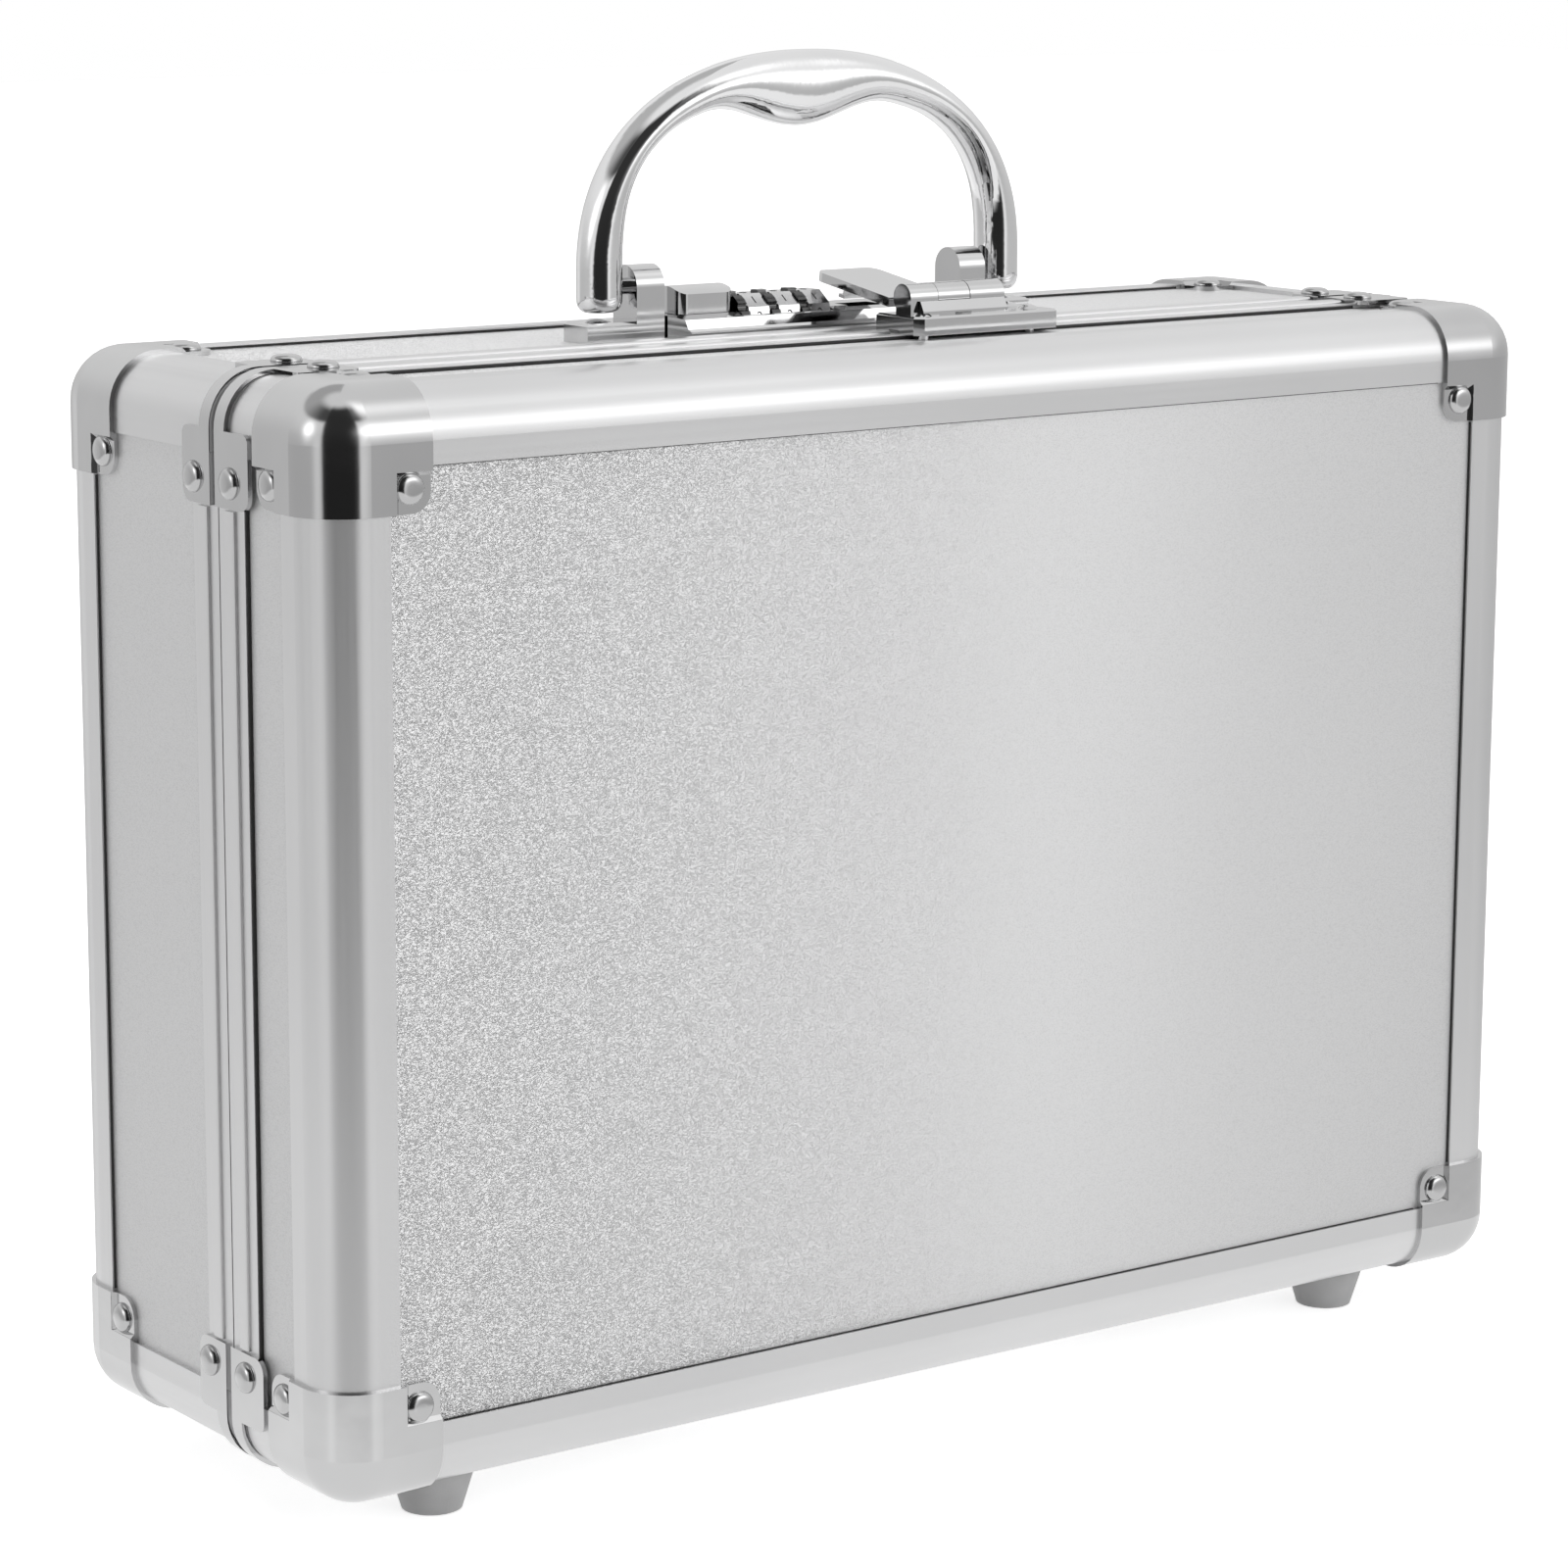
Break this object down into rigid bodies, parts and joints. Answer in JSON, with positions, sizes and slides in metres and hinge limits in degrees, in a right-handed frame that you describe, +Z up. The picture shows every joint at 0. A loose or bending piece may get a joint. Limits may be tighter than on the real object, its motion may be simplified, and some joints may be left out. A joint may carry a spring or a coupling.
{
  "type": "attache case",
  "caption": "Hard-shell aluminium attache case with riveted corner caps, hinged lid, arched chromed carrying handle and a combination lock with a hasp.",
  "frame": {"origin": "on the floor under the middle of the case's bounding box", "axes": "+X along the case's length, +Y from the lid towards the base shell, +Z up through the handle"},
  "size_m": [0.3348, 0.1138, 0.3048],
  "materials": {
    "panel": "silver leather-grain laminate",
    "profile": "satin anodised",
    "nickel_steel": "polished nickel plated sheet steel",
    "rivet": "nickel plated",
    "lining": "dark foam-backed cloth",
    "rubber": "matt moulded",
    "chrome": "bright chrome plate",
    "handle_chrome": "bright chrome plated zinc casting",
    "wheel": "chrome with dark marks",
    "zinc_plate": "zinc plated"
  },
  "bodies": {
    "base": {"base_back_panel": "panel", "base_top_panel": "panel", "base_bottom_panel": "panel", "base_left_panel": "panel", "base_right_panel": "panel", "base_edge_top": "profile", "base_edge_bottom": "profile", "base_edge_left": "profile", "base_edge_right": "profile", "base_corner_posts": "profile", "base_lip_rails": "profile", "base_corner_caps": "nickel_steel", "base_cap_rivets": "rivet", "base_lip_brackets": "nickel_steel", "base_bracket_rivets": "rivet", "base_lining": "lining", "base_feet": "rubber", "base_foot_screws": "rivet", "base_hinge_leaves": "nickel_steel", "base_hinge_rivets": "rivet", "hinge_pins": "rivet", "lock_plate": "chrome", "lock_case": "zinc_plate", "lock_screws": "chrome", "wheel_axle": "zinc_plate", "handle_bracket_left": "chrome", "handle_bracket_right": "chrome", "handle_bracket_screws": "chrome", "handle_pivot_pins": "chrome"},
    "lid": {"lid_face_panel": "panel", "lid_top_panel": "panel", "lid_bottom_panel": "panel", "lid_left_panel": "panel", "lid_right_panel": "panel", "lid_edge_top": "profile", "lid_edge_bottom": "profile", "lid_edge_left": "profile", "lid_edge_right": "profile", "lid_corner_posts": "profile", "lid_lip_rails": "profile", "lid_corner_caps": "nickel_steel", "lid_cap_rivets": "rivet", "lid_lip_brackets": "nickel_steel", "lid_bracket_rivets": "rivet", "lid_lining": "lining", "lid_feet": "rubber", "lid_foot_screws": "rivet", "lid_hinge_leaves": "nickel_steel", "lid_hinge_rivets": "rivet", "hasp_plate": "chrome", "hasp_pin": "chrome", "hasp_screws": "chrome"},
    "hasp": {"hasp_tongue": "chrome"},
    "handle": {"handle": "handle_chrome"},
    "wheel_1": {"number_wheel_1": "wheel"},
    "wheel_2": {"number_wheel_2": "wheel"},
    "wheel_3": {"number_wheel_3": "wheel"},
    "release": {"release_button": "chrome", "latch_bolt": "zinc_plate"}
  },
  "joints": [
    {"name": "lid_hinge", "type": "hinge", "parent": "base", "child": "lid", "pos_m": [0, -0.0143, 0.00795], "axis": [1, 0, 0], "range_deg": [0, 95]},
    {"name": "hasp_hinge", "type": "hinge", "parent": "lid", "child": "hasp", "pos_m": [0.01125, -0.0245, 0.2511], "axis": [1, 0, 0], "range_deg": [-8.4, 110]},
    {"name": "handle_pivot", "type": "hinge", "parent": "base", "child": "handle", "pos_m": [0, 0.0085, 0.2539], "axis": [1, 0, 0], "range_deg": [-90, 85]},
    {"name": "wheel_1_spin", "type": "hinge", "parent": "base", "child": "wheel_1", "pos_m": [-0.018, 0.0085, 0.2438], "axis": [1, 0, 0], "continuous": true},
    {"name": "wheel_2_spin", "type": "hinge", "parent": "base", "child": "wheel_2", "pos_m": [-0.0096, 0.0085, 0.2438], "axis": [1, 0, 0], "continuous": true},
    {"name": "wheel_3_spin", "type": "hinge", "parent": "base", "child": "wheel_3", "pos_m": [-0.0012, 0.0085, 0.2438], "axis": [1, 0, 0], "continuous": true},
    {"name": "release_slide", "type": "slide", "parent": "base", "child": "release", "axis": [-1, 0, 0], "range_m": [-0.0009, 0.0018], "stiffness_N_per_m": 400}
  ]
}
